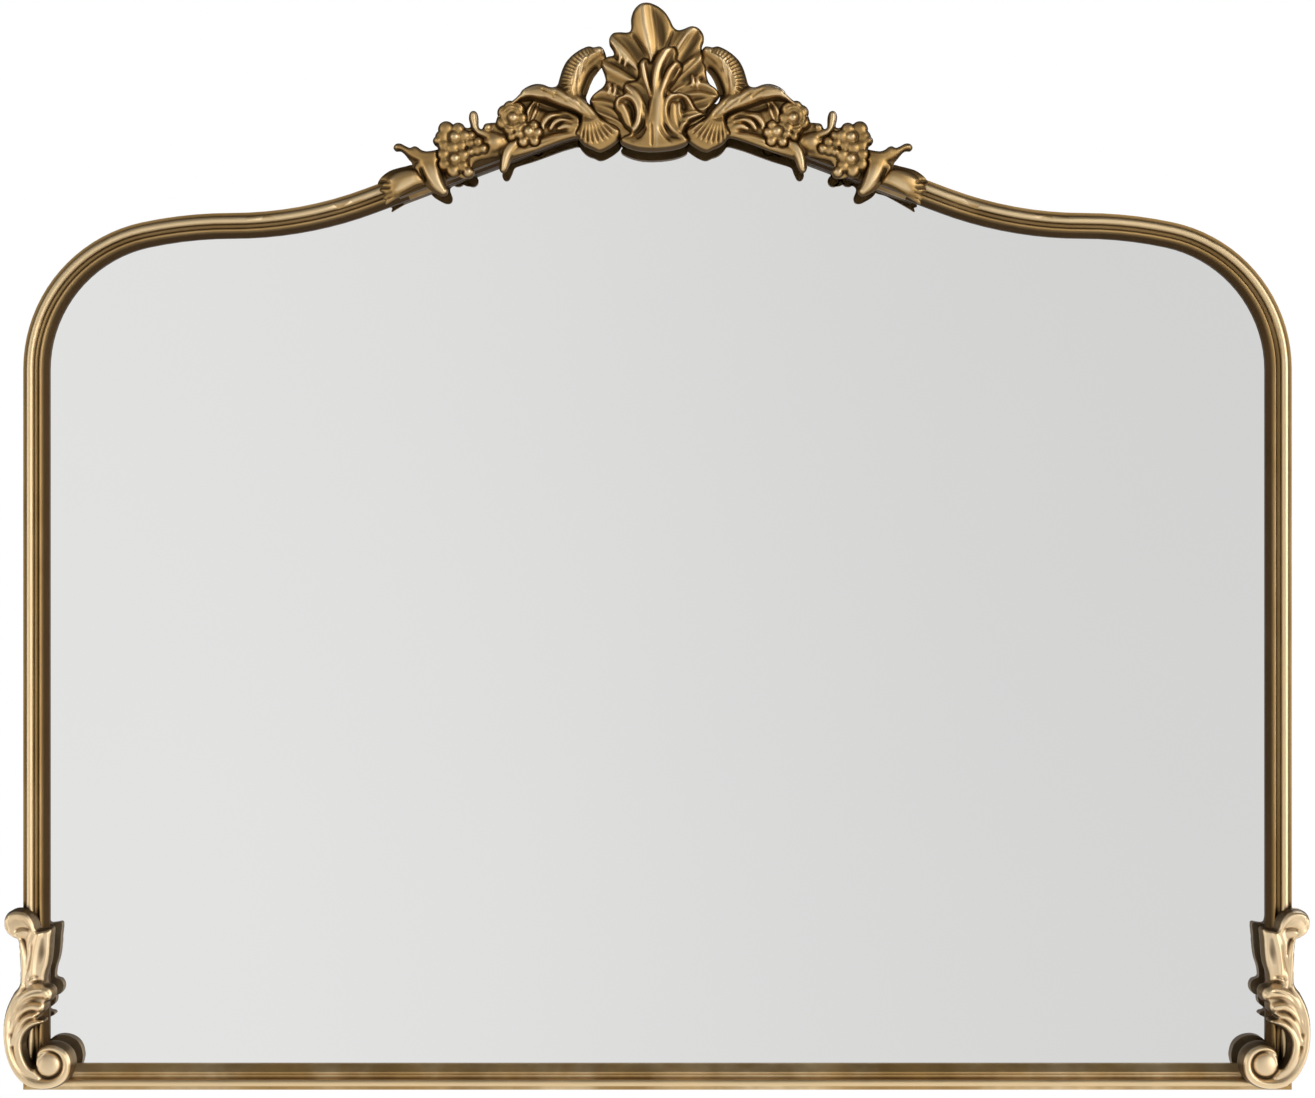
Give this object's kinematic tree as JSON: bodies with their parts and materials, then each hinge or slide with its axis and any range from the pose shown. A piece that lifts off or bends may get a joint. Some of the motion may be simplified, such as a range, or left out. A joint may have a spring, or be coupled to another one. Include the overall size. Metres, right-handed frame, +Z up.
{
  "type": "arched wall mirror",
  "caption": "Wide wall mirror in a beaded gilt moulding with rounded shoulders, an arched crown carrying a carved crest of shell, birds and flowers, and scrolls on the bottom corners.",
  "frame": {"origin": "on the wall plane, midway between the pivots of the two hanging rings", "axes": "+X to the viewer's right, +Y into the wall, +Z up; the glass faces -Y"},
  "size_m": [0.9116, 0.053, 0.7599],
  "materials": {
    "gilt_moulding": "antique brass gilt over a wood moulding",
    "gilt_casting": "antique brass gilt over cast resin, darker in the recesses",
    "mirror": "silvered glass",
    "mastic": "cured adhesive",
    "board": "brown fibreboard",
    "dowel": "plain beech",
    "zinc_steel": "zinc plated steel",
    "bumper_rubber": "matt black rubber"
  },
  "bodies": {
    "frame": {"bottom_rail": "gilt_moulding", "left_upright": "gilt_moulding", "right_upright": "gilt_moulding", "crown_rail": "gilt_moulding", "crest_base": "gilt_casting", "crest_shell": "gilt_casting", "crest_acanthus": "gilt_casting", "left_bird": "gilt_casting", "right_bird": "gilt_casting", "left_flowers": "gilt_casting", "right_flowers": "gilt_casting", "left_leaves": "gilt_casting", "right_leaves": "gilt_casting", "left_end_leaf": "gilt_casting", "right_end_leaf": "gilt_casting", "left_corner_scroll": "gilt_casting", "right_corner_scroll": "gilt_casting", "mirror_glass": "mirror", "mirror_mastic": "mastic", "backing_board": "board", "crown_dowels": "dowel", "mitre_dowels": "dowel", "backing_screws": "zinc_steel", "ornament_screws": "zinc_steel", "hanger_screws": "zinc_steel", "left_hanger_strap": "zinc_steel", "right_hanger_strap": "zinc_steel", "wall_bumpers": "bumper_rubber"},
    "left_ring": {"left_d_ring": "zinc_steel"},
    "right_ring": {"right_d_ring": "zinc_steel"}
  },
  "joints": [
    {"name": "left_ring_swing", "type": "hinge", "parent": "frame", "child": "left_ring", "pos_m": [-0.3, -0.0042, 0], "axis": [1, 0, 0], "range_deg": [0, 180]},
    {"name": "right_ring_swing", "type": "hinge", "parent": "frame", "child": "right_ring", "pos_m": [0.3, -0.0042, 0], "axis": [1, 0, 0], "range_deg": [0, 180]}
  ]
}
